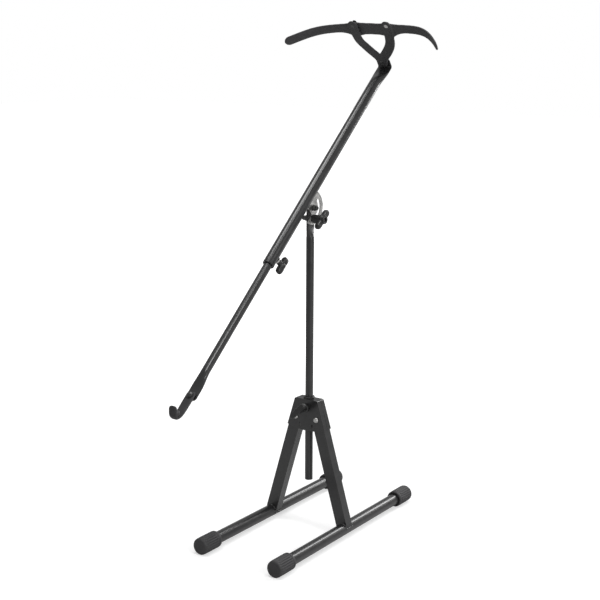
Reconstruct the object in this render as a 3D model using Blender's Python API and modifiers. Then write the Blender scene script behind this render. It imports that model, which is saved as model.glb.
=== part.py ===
# Tilting instrument stand: two folding legs, a sliding column, a tilting two-part boom,
# a rubber-coated cradle on a fork at its upper end and a rubber-coated hook at its lower end.
# Metres, +Z up. The origin is on the floor under the middle of the whole outline. Sizes and places below
# are measured from the column's middle line, which stands at COLUMN_AT. The feet run along Y.
# The hook end points to -Y and the cradle end to +Y.

import math

import bmesh
import bpy
import numpy as np

COLUMN_AT = (-0.00544, 0.07701, 0.0)

# Clearances, and how far a cutter runs from the middle or past the face of what it cuts
GAP = 0.0003
HOLE_PLAY = 0.0003
PLATE_CLEAR = 0.0005
CUT_REACH = 0.03
CUT_SHORT = 0.02
CUT_PAST = 0.01

# Feet and legs
FOOT_TUBE_R = 0.012
FOOT_WALL = 0.0015
FOOT_HALF_LENGTH = 0.2445
CAP_OVER = 0.00505
CAP_R = FOOT_TUBE_R + CAP_OVER
CAP_LENGTH = 0.0505
CAP_END = 0.005
CAP_RIM = 0.005
CAP_STEP = 0.0015
CAP_FLAT = 0.0004
LEG_WIDTH = 0.025
LEG_DEPTH = 0.020
LEG_WALL = 0.0015
LEG_SPREAD = math.radians(16.4)

# Bracket that carries the legs and guides the column
COLUMN_R = 0.008
LEG_FROM_MIDDLE = 0.0125
PIVOT_X = LEG_FROM_MIDDLE + LEG_WIDTH / 2
PIVOT_Z = 0.236
LEG_LENGTH = (PIVOT_Z - CAP_R + CAP_FLAT) / math.cos(LEG_SPREAD)
SHEET = 0.0015
BRACKET_UP = 0.0395
BRACKET_DOWN = 0.0195
BRACKET_TOP_Z = PIVOT_Z + BRACKET_UP
BRACKET_CORNER_Z = PIVOT_Z - BRACKET_DOWN
BRACKET_SAG = 0.007
BRACKET_CORNER = 0.004
SHEET_BEND = 0.0009
BUSH_WALL = 0.0017
BUSH_LIP = 0.0015
BUSH_BODY_R = COLUMN_R + GAP + BUSH_WALL
BUSH_RING_R = BUSH_BODY_R + BUSH_LIP
BUSH_RING_HEIGHT = 0.004
BUSH_LENGTH = 0.050
STOP_SLOT_X = 0.015
STOP_SLOT = (0.0025, 0.008)

# Fasteners
PIN_R = 0.003
BOLT_HEAD_R = 0.0055
BOLT_HEAD = 0.003
BOLT_PAST_NUT = 0.0015
NUT_R = 0.0058
NUT = 0.005
CAP_NUT_R = 0.0059
CAP_NUT = 0.0118
CAP_NUT_PLAY = 0.0033
CLAMP_CAP_NUT = 0.019
WASHER_R = 0.0077
WASHER = 0.0012
BOSS_EDGE = 0.0008
RIVET_HEAD = 0.0014

# Knobs: all three are rounded alike at both faces, by (height, inset) pairs from the face inwards
KNOB_ROUND = ((0.0, 0.003), (0.0007, 0.0016), (0.002, 0.0005), (0.0036, 0.0))
KNOB_FOOT = 0.0013

# Tube ends: how square a pressed section is, when its bore closes, and (distance from the tip, share of width)
TUBE_POINTS = 24
PRESS_SQUARE = 0.88
BORE_CLOSED = 0.6
TAB_TIP = ((0.004, 1.0), (0.0015, 0.93), (0.0, 0.8))

# Column, its clamp and the tilt joint
TUBE_WALL = 0.0015
GROOVE = 0.0006
GROOVE_AT = math.radians(45)
GROOVE_WIDTH = 0.16
COLUMN_BOTTOM_Z = 0.103
FLATTEN = 0.028
TAB_THICK = 0.0032
TAB_WIDTH = 0.024
CLAMP_UP = 0.022
CLAMP_Z = PIVOT_Z + CLAMP_UP
CLAMP_BOSS_R = 0.008
CLAMP_BOSS = 0.006
WING_OUT = 0.0285
WING_REACH = 0.0175
WING_HALF = 0.0055
WING_TURN = math.radians(45)
WING_HUB_R = 0.0068
WING_NECK_R = 0.0062
WING_SCREW_IN = 0.003
TILT_Y = 0.003
TILT_Z = 0.663
TAB_PAST_TILT = 0.012
TAB_TOP_Z = TILT_Z + TAB_PAST_TILT
TILT_CLAMP_Y = 0.0
TILT_CLAMP_DROP = 0.021
TILT_CLAMP_Z = TILT_Z - TILT_CLAMP_DROP
TILT_DOWN = math.radians(132)
TILT_UP = math.radians(2)
PLATE_THICK = 0.003
PLATE_R = 0.0335
PLATE_LEFT = -0.012
SLOT_HALF = 0.0044
SLOT_WALL = 0.0045
SLOT_PLAY = math.radians(1.5)
SLOT_END_WALL = math.radians(6)
KNOB_OUT = 0.02775
KNOB_FACE = 0.0355
KNOB_REACH = 0.0186
KNOB_LOBE = 0.006
KNOB_DEPTH = 0.0105
KNOB_TURN = math.radians(39)
KNOB_HUB_R = 0.0098
KNOB_NECK_R = 0.0084
KNOB_SCREW_IN = 0.004
KNOB_RECESS_R = 0.0042
KNOB_RECESS = 0.004

# Boom: lengths run along the boom from the tilt pivot, heights stand square to it
BOOM_ANGLE = math.radians(41.4)
BOOM_ROLL = math.radians(4)
OUTER_R = 0.0114
BOOM_OVER_TILT = 0.0166
BOOM_HEIGHT = OUTER_R + BOOM_OVER_TILT
OUTER_WALL = 0.0013
OUTER_LOW = -0.165
HEAD_BEND = 0.376
HEAD_BEND_R = 0.004
HEAD_FLAT = 0.006
HEAD_PRESS = 0.045
HEAD_TAB = 0.022
HEAD_FLAT_DROP = 0.0028
HEAD_WIDTH = 0.032
COLLAR_WALL = 0.0015
COLLAR_LIP = 0.0065
COLLAR_SLEEVE = 0.024
INNER_R = OUTER_R - OUTER_WALL - COLLAR_WALL - 2 * GAP
INNER_WALL = 0.0012
INNER_TOP = -0.031
INNER_END = -0.481
INNER_FLAT_LENGTH = 0.021
INNER_FLAT = INNER_END + INNER_FLAT_LENGTH
INNER_PRESS = 0.045
INNER_FLAT_DROP = 0.002
INNER_FLAT_WIDTH = 0.0247
INNER_FLAT_THICK = 0.003
BOOM_CLAMP_IN = 0.016
BOOM_CLAMP_AT = OUTER_LOW + BOOM_CLAMP_IN
BOOM_CLAMP_TURN = math.radians(71)
BOOM_BOSS_R = 0.0065
BOOM_BOSS = 0.0035
BOOM_KNOB_PAST = 0.017
BOOM_KNOB_OUT = OUTER_R + BOOM_KNOB_PAST
BOOM_KNOB_REACH = 0.0135
BOOM_KNOB_LOBE = 0.0055
BOOM_KNOB_DEPTH = 0.012
BOOM_KNOB_HUB_R = 0.0066
BOOM_KNOB_NECK_R = 0.0055
BOOM_KNOB_SCREW_IN = 0.006

# Fork, cradle strap and hook
ARM_WIDTH = 0.021
ARM_THICK = 0.002
ARM_PATH = ((0.0, 0.012), (0.0075, 0.0275), (0.0205, 0.0435), (0.0325, 0.0625), (0.0365, 0.0825), (0.0377, 0.112))
FORK_RIVET_R = 0.002
HEAD_ZERO = -0.0003
HEAD_RIVETS = (HEAD_ZERO + 0.0075, HEAD_ZERO + 0.0165)
HEAD_RIVET_HEAD_R = 0.0036
STRAP_FRONT = HEAD_BEND - OUTER_WALL - GAP
LEFT_ARM_AT = STRAP_FRONT - ARM_THICK / 2
RIGHT_ARM_AT = LEFT_ARM_AT - ARM_THICK - GAP
STRAP_WIDTH = 0.0237
STRAP_THICK = 0.0046
STRAP_HEIGHT = 0.103
STRAP_RIVET_HEAD_R = 0.0048
# The strap is bent by hand, so each half has its own length and bends: degrees at equal steps from its middle.
STRAP_HALVES = {-1: (0.194, (0.0, 9.35, 11.6, 36.0, 39.0)), 1: (0.1855, (0.0, 0.0, 0.0, 38.8, 53.5))}
STRAP_EASING = 0.06
COAT = 0.0009
CORE_PLAY = 0.0003
HOOK_WIDTH = 0.0217
HOOK_BEND_WIDTH = 0.020
HOOK_THICK = 0.0046
HOOK_OVERLAP = 0.015
HOOK_START = INNER_END + HOOK_OVERLAP
HOOK_RUN = 0.054
HOOK_BEND_R = 0.008
HOOK_TONGUE = 0.0174
HOOK_SCREW_IN = 0.0055
HOOK_SCREW_AT = INNER_END + HOOK_SCREW_IN
HOOK_END_SHARE = 0.6
HOOK_WASHER_R = 0.0072
HOOK_WASHER = 0.001
HOOK_HEAD_R = 0.0063
HOOK_HEAD = 0.0032

UP = (0.0, 0.0, 1.0)


def clear_scene():
    for obj in list(bpy.data.objects):
        bpy.data.objects.remove(obj, do_unlink=True)


def new_collection(name):
    group = bpy.data.collections.new(name)
    bpy.context.scene.collection.children.link(group)
    return group


def finish(name, colour, roughness, metallic):
    mat = bpy.data.materials.new(name)
    mat.use_nodes = True
    shader = mat.node_tree.nodes["Principled BSDF"]
    shader.inputs["Base Color"].default_value = (*colour, 1.0)
    shader.inputs["Roughness"].default_value = roughness
    shader.inputs["Metallic"].default_value = metallic
    mat.diffuse_color = (*colour, 1.0)
    return mat


clear_scene()
STAND = new_collection("instrument_stand")
CUTTERS = new_collection("cutters")
CUTTERS.hide_render = True
POWDER_BLACK = ("powder_coat", (0.03, 0.03, 0.034), 0.4, 0.0)
ZINC = ("zinc_plate", (0.72, 0.73, 0.75), 0.3, 1.0)
STEEL = ("bright_steel", (0.62, 0.62, 0.63), 0.28, 1.0)
BLACK_STEEL = ("black_steel", (0.06, 0.06, 0.065), 0.35, 0.6)
PLASTIC = ("black_plastic", (0.02, 0.02, 0.022), 0.45, 0.0)
RUBBER = ("rubber_coat", (0.05, 0.05, 0.052), 0.75, 0.0)


# Frames and placing

ROOT = bpy.data.objects.new("column_middle", None)
ROOT.location = COLUMN_AT
STAND.objects.link(ROOT)


def frame(name, parent=None, location=(0, 0, 0), rotation=(0, 0, 0)):
    empty = bpy.data.objects.new(name, None)
    STAND.objects.link(empty)
    empty.parent = parent or ROOT
    empty.location = location
    empty.rotation_euler = rotation
    return empty


def place(name, mesh, look, parent=None, location=(0, 0, 0), rotation=(0, 0, 0)):
    obj = bpy.data.objects.new(name, mesh)
    STAND.objects.link(obj)
    obj.parent = parent or ROOT
    obj.location = location
    obj.rotation_euler = rotation
    mesh.materials.append(finish(name + "_" + look[0], *look[1:]))
    return obj


def smooth(obj, angle=35):
    obj.data.shade_smooth()
    obj.data.set_sharp_from_angle(angle=math.radians(angle))


def as_cutter(obj):
    for group in list(obj.users_collection):
        group.objects.unlink(obj)
    CUTTERS.objects.link(obj)
    obj.hide_render = True
    obj.display_type = "WIRE"
    return obj


def cut(target, cutter, operation="DIFFERENCE"):
    modifier = target.modifiers.new(cutter.name, "BOOLEAN")
    modifier.operation = operation
    modifier.solver = "EXACT"
    modifier.object = cutter


# Basic solids

def box_mesh(name, size, centre=(0, 0, 0)):
    mesh = bpy.data.meshes.new(name)
    bm = bmesh.new()
    bmesh.ops.create_cube(bm, size=1.0)
    for vert in bm.verts:
        vert.co = [c * s + m for c, s, m in zip(vert.co, size, centre)]
    bm.to_mesh(mesh)
    bm.free()
    return mesh


def cylinder_mesh(name, radius, low, high, segments=32):
    mesh = bpy.data.meshes.new(name)
    bm = bmesh.new()
    bmesh.ops.create_cone(bm, cap_ends=True, segments=segments, radius1=radius, radius2=radius, depth=high - low)
    for vert in bm.verts:
        vert.co.z += (low + high) / 2
    bm.to_mesh(mesh)
    bm.free()
    return mesh


def ring_mesh(name, rings):
    # A closed skin over a row of rings that have equal numbers of points.
    mesh = bpy.data.meshes.new(name)
    bm = bmesh.new()
    rows = [[bm.verts.new(point) for point in ring] for ring in rings]
    count = len(rows[0])
    for first, second in zip(rows, rows[1:]):
        for i in range(count):
            j = (i + 1) % count
            bm.faces.new((first[i], first[j], second[j], second[i]))
    bm.faces.new(rows[0])
    bm.faces.new(rows[-1])
    bmesh.ops.recalc_face_normals(bm, faces=bm.faces)
    if bm.calc_volume(signed=True) < 0:
        bmesh.ops.reverse_faces(bm, faces=bm.faces)
    bm.to_mesh(mesh)
    bm.free()
    return mesh


def turned(name, look, profile, closed=False, steps=32, **where):
    # A turned shape about local Z from (radius, height) points that run down its outer side.
    mesh = bpy.data.meshes.new(name)
    bm = bmesh.new()
    verts = [bm.verts.new((radius, 0, height)) for radius, height in profile]
    for first, second in zip(verts, verts[1:]):
        bm.edges.new((first, second))
    if closed:
        bm.edges.new((verts[-1], verts[0]))
    bm.to_mesh(mesh)
    bm.free()
    obj = place(name, mesh, look, **where)
    screw = obj.modifiers.new("turn", "SCREW")
    screw.axis = "Z"
    screw.steps = steps
    screw.render_steps = steps
    screw.use_merge_vertices = True
    screw.merge_threshold = 0.00001
    screw.use_smooth_shade = True
    return obj


def outline_mesh(name, outlines, thickness):
    # Flat outlines in local XY, holes among them, made into a sheet about local Z = 0.
    curve = bpy.data.curves.new(name, "CURVE")
    curve.dimensions = "2D"
    curve.fill_mode = "BOTH"
    curve.extrude = thickness / 2
    for outline in outlines:
        spline = curve.splines.new("POLY")
        spline.points.add(len(outline) - 1)
        for point, (x, y) in zip(spline.points, outline):
            point.co = (x, y, 0, 1)
        spline.use_cyclic_u = True
    guide = bpy.data.objects.new(name + "_outline", curve)
    STAND.objects.link(guide)
    graph = bpy.context.evaluated_depsgraph_get()
    mesh = bpy.data.meshes.new_from_object(guide.evaluated_get(graph))
    bpy.data.objects.remove(guide, do_unlink=True)
    bm = bmesh.new()
    bm.from_mesh(mesh)
    bmesh.ops.remove_doubles(bm, verts=bm.verts, dist=0.000002)
    bmesh.ops.recalc_face_normals(bm, faces=bm.faces)
    bm.to_mesh(mesh)
    bm.free()
    mesh.name = name
    return mesh


def bore(name, radius, low, high, parent=None, location=(0, 0, 0), rotation=(0, 0, 0), segments=16):
    obj = place(name, cylinder_mesh(name, radius, low, high, segments), STEEL, parent, location, rotation)
    return as_cutter(obj)


def arc(centre, radius, start, end, count):
    angles = np.linspace(start, end, count)
    return [(centre[0] + radius * math.cos(a), centre[1] + radius * math.sin(a)) for a in angles]


def circle(centre, radius, count=24):
    return arc(centre, radius, 0, 2 * math.pi * (count - 1) / count, count)


# Tube sections

def tube_ring(centre, across, normal, radius, flat=0.0, half_width=None, half_thick=None, groove=0.0):
    # One ring of a tube that goes from round at flat = 0 to pressed flat at flat = 1.
    centre, across, normal = (np.array(v, float) for v in (centre, across, normal))
    wide = radius + flat * ((half_width or radius) - radius)
    thick = radius + flat * ((half_thick or radius) - radius)
    square = 1 - PRESS_SQUARE * flat
    points = []
    for i in range(TUBE_POINTS):
        angle = 2 * math.pi * i / TUBE_POINTS
        c, s = math.cos(angle), math.sin(angle)
        dent = 1 - groove * math.exp(-((math.sin(angle - GROOVE_AT)) / GROOVE_WIDTH) ** 2)
        side = wide * c * dent
        height = thick * math.copysign(abs(s) ** square, s) * dent
        points.append(centre + across * side + normal * height)
    return points


def strip_ring(centre, across, normal, half_width, half_thick):
    # A flat strip's section with rounded edges.
    centre, across, normal = (np.array(v, float) for v in (centre, across, normal))
    rim = half_thick * 0.7
    points = []
    for side, height in ((1, -1), (1, 1), (-1, 1), (-1, -1)):
        if side * height < 0:
            steps = ((half_width - rim, height), (half_width, height * 0.3))
        else:
            steps = ((half_width, height * 0.3), (half_width - rim, height))
        for w, t in steps:
            points.append(centre + across * side * max(w, 0.0002) + normal * half_thick * t)
    return points


def rounded_ends(stations, half_width, start, end):
    # Half-widths along a strip whose ends are half round.
    widths = []
    for at in stations:
        reach = min(half_width, at if start else half_width, (stations[-1] - at) if end else half_width)
        away = 1 - reach / half_width
        widths.append(half_width * math.sqrt(max(1 - away * away, 0.012)))
    return widths


def end_stations(length, half_width, count, start=True, end=True):
    # Distances along a strip, closer together where an end is rounded.
    bow = [half_width * (1 - math.cos(math.pi / 2 * i / 5)) for i in range(5)]
    low = bow if start else []
    high = [length - b for b in reversed(bow)] if end else []
    first = half_width if start else 0.0
    last = length - half_width if end else length
    return low + list(np.linspace(first, last, count)) + high


# Base

def build_feet(side_name, side):
    leg_frame = frame(side_name + "_leg_pivot", None, (side * PIVOT_X, 0, PIVOT_Z), (0, -side * LEG_SPREAD, 0))
    hole_r = PIN_R + HOLE_PLAY
    top = arc((0, 0), LEG_WIDTH / 2, 0, math.pi, 17)
    end_z = -LEG_LENGTH + FOOT_TUBE_R / 2
    outline = top + [(-LEG_WIDTH / 2, end_z), (LEG_WIDTH / 2, end_z)]
    leg = place(side_name + "_leg", outline_mesh("leg", [outline], LEG_DEPTH), POWDER_BLACK, leg_frame,
                rotation=(math.pi / 2, 0, 0))
    inside = (LEG_WIDTH - 2 * LEG_WALL, LEG_DEPTH - 2 * LEG_WALL, LEG_LENGTH + LEG_WIDTH * 2)
    hollow = as_cutter(place(side_name + "_leg_hollow", box_mesh("hollow", inside, (0, 0, -LEG_LENGTH / 2)),
                             STEEL, leg_frame))
    cut(leg, hollow)
    along_y = (math.pi / 2, 0, 0)
    cut(leg, bore(side_name + "_leg_pivot_hole", hole_r, -CUT_REACH, CUT_REACH, leg_frame, rotation=along_y))
    foot_place = (0, 0, -LEG_LENGTH)
    cut(leg, bore(side_name + "_leg_cope", FOOT_TUBE_R + GAP, -CUT_REACH, CUT_REACH, leg_frame, foot_place,
                  along_y, 48))
    tube_half = FOOT_HALF_LENGTH - CAP_END - GAP
    inner = FOOT_TUBE_R - FOOT_WALL
    profile = [(FOOT_TUBE_R, tube_half), (FOOT_TUBE_R, -tube_half), (inner, -tube_half), (inner, tube_half)]
    turned(side_name + "_foot_tube", POWDER_BLACK, profile, True, 32, parent=leg_frame, location=foot_place,
           rotation=along_y)
    for end_name, end in (("front", -1), ("rear", 1)):
        cap = build_cap(side_name + "_" + end_name + "_foot_cap", leg_frame, foot_place, end)
        # The rubber stands on a narrow flat.
        under = (0, end * FOOT_HALF_LENGTH, CAP_FLAT - CAP_R - CUT_PAST)
        ground = box_mesh("ground", (CAP_R * 3, CAP_LENGTH * 2, CUT_PAST * 2), under)
        cut(cap, as_cutter(place(cap.name + "_ground", ground, RUBBER, leg_frame, foot_place,
                                 (0, side * LEG_SPREAD, 0))))


def build_cap(name, parent, foot_place, end):
    seat = FOOT_TUBE_R + GAP
    top = FOOT_HALF_LENGTH
    rim = top - CAP_LENGTH
    profile = [
        (0, top), (CAP_R * 0.45, top - 0.0003), (CAP_R * 0.78, top - 0.0011), (CAP_R * 0.93, top - 0.003),
        (CAP_R, top - 0.0065), (CAP_R, rim + CAP_RIM), (CAP_R - CAP_STEP, rim + CAP_RIM * 0.8),
        (CAP_R - CAP_STEP, rim),
        (seat, rim), (seat, top - CAP_END), (0, top - CAP_END),
    ]
    return turned(name, RUBBER, profile, False, 32, parent=parent, location=foot_place,
                  rotation=(-end * math.pi / 2, 0, 0))


def bracket_outline(inset):
    # Trapezoid with sides parallel to the spread legs. An inset outline runs past the open bottom.
    slope = math.tan(LEG_SPREAD)
    reach = LEG_WIDTH / 2 + GAP + SHEET - inset
    top = BRACKET_TOP_Z - inset

    def side(z):
        return PIVOT_X + reach / math.cos(LEG_SPREAD) + (PIVOT_Z - z) * slope

    if inset:
        low = BRACKET_CORNER_Z - CUT_REACH
        return [(side(top), top), (-side(top), top), (-side(low), low), (side(low), low)]
    half = side(BRACKET_CORNER_Z)
    radius = (half * half + BRACKET_SAG * BRACKET_SAG) / (2 * BRACKET_SAG)
    swing = math.asin(half / radius)
    centre_z = BRACKET_CORNER_Z - BRACKET_SAG + radius
    bottom = arc((0, centre_z), radius, -math.pi / 2 - swing, -math.pi / 2 + swing, 17)
    corner = BRACKET_CORNER
    right = arc((side(top) - corner, top - corner), corner, LEG_SPREAD, math.pi / 2, 5)
    left = [(-x, z) for x, z in reversed(right)]
    return right + left + bottom


def build_bracket():
    half_gap = LEG_DEPTH / 2 + GAP
    outside = half_gap + SHEET
    depth = outside - GAP
    to_front = (math.pi / 2, 0, 0)
    for name, side in (("front_bracket_plate", -1), ("rear_bracket_plate", 1)):
        middle = side * (outside + GAP) / 2
        shell = place(name, outline_mesh("bracket", [bracket_outline(0)], depth), POWDER_BLACK, None,
                      (0, middle, 0), to_front)
        rounding = shell.modifiers.new("bend", "BEVEL")
        rounding.width = SHEET_BEND
        rounding.segments = 2
        rounding.limit_method = "ANGLE"
        rounding.angle_limit = math.radians(50)
        room = outline_mesh("room", [bracket_outline(SHEET)], 2 * half_gap)
        cut(shell, as_cutter(place(name + "_room", room, STEEL, None, (0, 0, 0), to_front)))
        for pin_side in (-1, 1):
            where = (pin_side * PIVOT_X, 0, PIVOT_Z)
            cut(shell, bore(f"{name}_pin_hole_{pin_side}", PIN_R + HOLE_PLAY, -CUT_REACH, CUT_REACH, None, where,
                            to_front))
            slot = box_mesh("slot", (STOP_SLOT[0], CUT_REACH * 2, STOP_SLOT[1]))
            cut(shell, as_cutter(place(f"{name}_stop_slot_{pin_side}", slot, STEEL, None,
                                       (pin_side * STOP_SLOT_X, 0, BRACKET_CORNER_Z + STOP_SLOT[1] / 2))))
        bush_low = BRACKET_TOP_Z - BUSH_LENGTH - GAP
        cut(shell, bore(name + "_column_hole", BUSH_BODY_R + GAP, bush_low, BRACKET_TOP_Z + CUT_PAST, segments=32))
        if side < 0:
            cut(shell, bore(name + "_clamp_hole", PIN_R + HOLE_PLAY, 0, CUT_REACH, None,(0, 0, CLAMP_Z), to_front))
    build_bush(to_front)
    for side_name, side in (("left", -1), ("right", 1)):
        pin_frame = frame(side_name + "_pin", None, (side * PIVOT_X, 0, PIVOT_Z), to_front)
        head = outside + GAP
        tail = -(outside + GAP + NUT + BOLT_PAST_NUT)
        turned(side_name + "_pivot_bolt", STEEL, bolt_profile(head, tail), False, 24, parent=pin_frame)
        nut_low = -(outside + GAP + NUT)
        build_nut(side_name + "_pivot_nut", pin_frame, nut_low, STEEL)


def bolt_profile(head, tail):
    # A bolt along local Z: its flat-topped head stands on the height head, away from its tail.
    out = 1 if head > tail else -1
    profile = [(0, head + out * BOLT_HEAD), (BOLT_HEAD_R * 0.72, head + out * BOLT_HEAD),
               (BOLT_HEAD_R, head + out * BOLT_HEAD * 0.4), (BOLT_HEAD_R, head), (PIN_R, head), (PIN_R, tail), (0, tail)]
    return profile[::out]


def build_nut(name, parent, low, look):
    nut = place(name, cylinder_mesh(name, NUT_R, low, low + NUT, 6), look, parent)
    cut(nut, bore(name + "_hole", PIN_R + HOLE_PLAY, low - CUT_PAST, low + NUT + CUT_PAST, parent))
    return nut


def build_cap_nut(name, parent, seat, out, length):
    # A cap nut along local Z. It stands on the height seat and its dome points out, to 1 or -1.
    bore_r = PIN_R + GAP
    blind = length - CAP_NUT_PLAY
    profile = [(0, length), (CAP_NUT_R * 0.5, length * 0.93), (CAP_NUT_R * 0.78, length * 0.75),
               (CAP_NUT_R * 0.84, length * 0.5), (CAP_NUT_R, length * 0.42), (CAP_NUT_R, 0), (bore_r, 0),
               (bore_r, blind), (0, blind)]
    placed = [(radius, seat + out * height) for radius, height in profile]
    return turned(name, BLACK_STEEL, placed[::out], False, 24, parent=parent)


def build_bush(to_front):
    bore_r = COLUMN_R + GAP
    seat = BRACKET_TOP_Z + GAP
    top = seat + BUSH_RING_HEIGHT
    low = BRACKET_TOP_Z - BUSH_LENGTH
    profile = [(bore_r, top), (BUSH_RING_R - BOSS_EDGE, top), (BUSH_RING_R, top - BOSS_EDGE), (BUSH_RING_R, seat),
               (BUSH_BODY_R, seat), (BUSH_BODY_R, low), (bore_r, low)]
    bush = turned("column_bush", PLASTIC, profile, True, 32)
    cut(bush, bore("bush_screw_hole", PIN_R + HOLE_PLAY, 0, CUT_REACH, None,(0, 0, CLAMP_Z), to_front))


# Knobs

def lobed_outline(count, reach, half, hub, turn, points=48):
    # The outline of a hub with arms: each arm is a straight bar with a half-round end.
    outline = []
    for i in range(points):
        angle = 2 * math.pi * i / points
        radius = hub
        for k in range(count):
            off = (angle - turn - 2 * math.pi * k / count + math.pi) % (2 * math.pi) - math.pi
            s, c = abs(math.sin(off)), math.cos(off)
            if c <= 0:
                continue
            if half * c < reach * s:
                radius = max(radius, half / s)
            else:
                radius = max(radius, reach * c + math.sqrt(half * half - (reach * s) ** 2))
        outline.append((radius * math.cos(angle), radius * math.sin(angle)))
    return outline


def build_knob(name, parent, outline, low, high, neck_r, neck_low, neck_high, screw_top):
    # A moulded knob on local Z: a lobed body from low to high on a round neck, bored for its screw.
    rings = []
    steps = [(low + height, inset) for height, inset in KNOB_ROUND]
    steps += [(high - height, inset) for height, inset in reversed(KNOB_ROUND)]
    for height, shrink in steps:
        ring = []
        for x, y in outline:
            scale = 1 - shrink / math.hypot(x, y)
            ring.append((x * scale, y * scale, height))
        rings.append(ring)
    body = place(name, ring_mesh(name, rings), PLASTIC, parent)
    smooth(body, 50)
    neck = bore(name + "_neck", neck_r, neck_low, neck_high, parent, segments=32)
    cut(body, neck, "UNION")
    cut(body, bore(name + "_screw_seat", PIN_R + GAP, neck_low - CUT_PAST, screw_top + GAP, parent))
    return body


def build_screw(name, look, parent, low, high):
    profile = [(0, high), (PIN_R, high), (PIN_R, low + BOSS_EDGE), (PIN_R - BOSS_EDGE, low), (0, low)]
    return turned(name, look, profile, False, 24, parent=parent)


def build_height_clamp():
    knob_frame = frame("height_knob_axis", None, (0, 0, CLAMP_Z), (math.pi / 2, 0, 0))
    face = LEG_DEPTH / 2 + GAP + SHEET
    boss_low = face + GAP
    boss_high = boss_low + CLAMP_BOSS
    build_boss("height_clamp_boss", BLACK_STEEL, knob_frame, CLAMP_BOSS_R, boss_low, boss_high)
    wing_low = face + WING_OUT - WING_HALF
    wing_high = face + WING_OUT + WING_HALF
    outline = lobed_outline(2, WING_REACH, WING_HALF, WING_HUB_R, WING_TURN)
    screw_top = wing_low + WING_SCREW_IN
    build_knob("height_knob", knob_frame, outline, wing_low, wing_high, WING_NECK_R, boss_high + KNOB_FOOT,
               screw_top, screw_top)
    build_screw("height_clamp_screw", STEEL, knob_frame, COLUMN_R + GAP, screw_top)


def build_boss(name, look, parent, radius, low, high):
    hole = PIN_R + HOLE_PLAY
    profile = [(hole, high), (radius - BOSS_EDGE, high), (radius, high - BOSS_EDGE), (radius, low), (hole, low)]
    return turned(name, look, profile, True, 32, parent=parent)


# Column

def build_column():
    column_frame = frame("column_slide")
    across, normal = (0, 1, 0), (1, 0, 0)
    half_width, half_thick = TAB_WIDTH / 2, TAB_THICK / 2
    bore_r = COLUMN_R - TUBE_WALL
    # The tab is flat as far down as the quadrant plate reaches.
    tab_start = TILT_Z - PLATE_R - 0.001
    press = [(tab_start - FLATTEN * (1 - t), t * t * (3 - 2 * t)) for t in np.linspace(0, 1, 7)]
    rings = []
    for z, flat in [p for p in reversed(press) if p[1] < BORE_CLOSED]:
        rings.append(tube_ring((0, 0, z), across, normal, bore_r, flat, half_width - TUBE_WALL,
                               half_thick, GROOVE / COLUMN_R * (1 - flat)))
    low = COLUMN_BOTTOM_Z
    rings.append(tube_ring((0, 0, low), across, normal, bore_r, groove=GROOVE / COLUMN_R))
    rings.append(tube_ring((0, 0, low), across, normal, COLUMN_R, groove=GROOVE / COLUMN_R))
    for z, flat in press:
        rings.append(tube_ring((0, 0, z), across, normal, COLUMN_R, flat, half_width, half_thick,
                               GROOVE / COLUMN_R * (1 - flat)))
    crown = TAB_TOP_Z - half_width
    for t in (0.0, 0.35, 0.6, 0.8, 0.93, 0.99):
        wide = half_width * math.sqrt(1 - t * t)
        rings.append(tube_ring((0, 0, crown + half_width * t), across, normal, COLUMN_R, 1.0, wide, half_thick))
    column = place("column_tube", ring_mesh("column_tube", rings), POWDER_BLACK, column_frame)
    smooth(column)
    to_side = (0, math.pi / 2, 0)
    hole = PIN_R + HOLE_PLAY
    for name, y, z in (("tilt", TILT_Y, TILT_Z), ("clamp", TILT_CLAMP_Y, TILT_CLAMP_Z)):
        cut(column, bore("column_" + name + "_hole", hole, -CUT_SHORT, CUT_SHORT, column_frame, (0, y, z), to_side))
    return column_frame


def build_tilt_joint(column_frame):
    to_side = (0, math.pi / 2, 0)
    tab = TAB_THICK / 2
    plate_low = tab + GAP
    plate_high = plate_low + PLATE_THICK
    left_face = -tab - GAP
    right_face = plate_high + GAP
    pin_frame = frame("tilt_pin", column_frame, (0, TILT_Y, TILT_Z), to_side)
    build_cap_nut("tilt_pivot_cap_nut", pin_frame, right_face, 1, CAP_NUT)
    bolt_end = right_face + CAP_NUT - CAP_NUT_PLAY - GAP
    turned("tilt_pivot_bolt", BLACK_STEEL, bolt_profile(left_face, bolt_end), False, 24, parent=pin_frame)
    knob_frame = frame("tilt_knob_axis", column_frame, (0, TILT_CLAMP_Y, TILT_CLAMP_Z), to_side)
    washer_high = right_face + WASHER
    hole = PIN_R + HOLE_PLAY
    profile = [(hole, washer_high), (WASHER_R, washer_high), (WASHER_R, right_face), (hole, right_face)]
    turned("tilt_washer", STEEL, profile, True, 32, parent=knob_frame)
    build_cap_nut("tilt_cap_nut", knob_frame, left_face, -1, CLAMP_CAP_NUT)
    knob_low = KNOB_OUT - KNOB_DEPTH / 2
    knob_high = KNOB_OUT + KNOB_DEPTH / 2
    outline = lobed_outline(2, KNOB_REACH, KNOB_LOBE, KNOB_HUB_R, KNOB_TURN + math.pi / 2)
    screw_top = knob_low + KNOB_SCREW_IN
    knob = build_knob("tilt_knob", knob_frame, outline, knob_low, knob_high, KNOB_NECK_R, washer_high + GAP,
                      KNOB_FACE, screw_top)
    recess_low = KNOB_FACE - KNOB_RECESS
    cut(knob, bore("tilt_knob_recess", KNOB_RECESS_R, recess_low, KNOB_FACE + CUT_PAST, knob_frame))
    screw_end = left_face - CLAMP_CAP_NUT + CAP_NUT_PLAY + GAP
    build_screw("tilt_clamp_screw", STEEL, knob_frame, screw_end, screw_top)


# Boom

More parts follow.
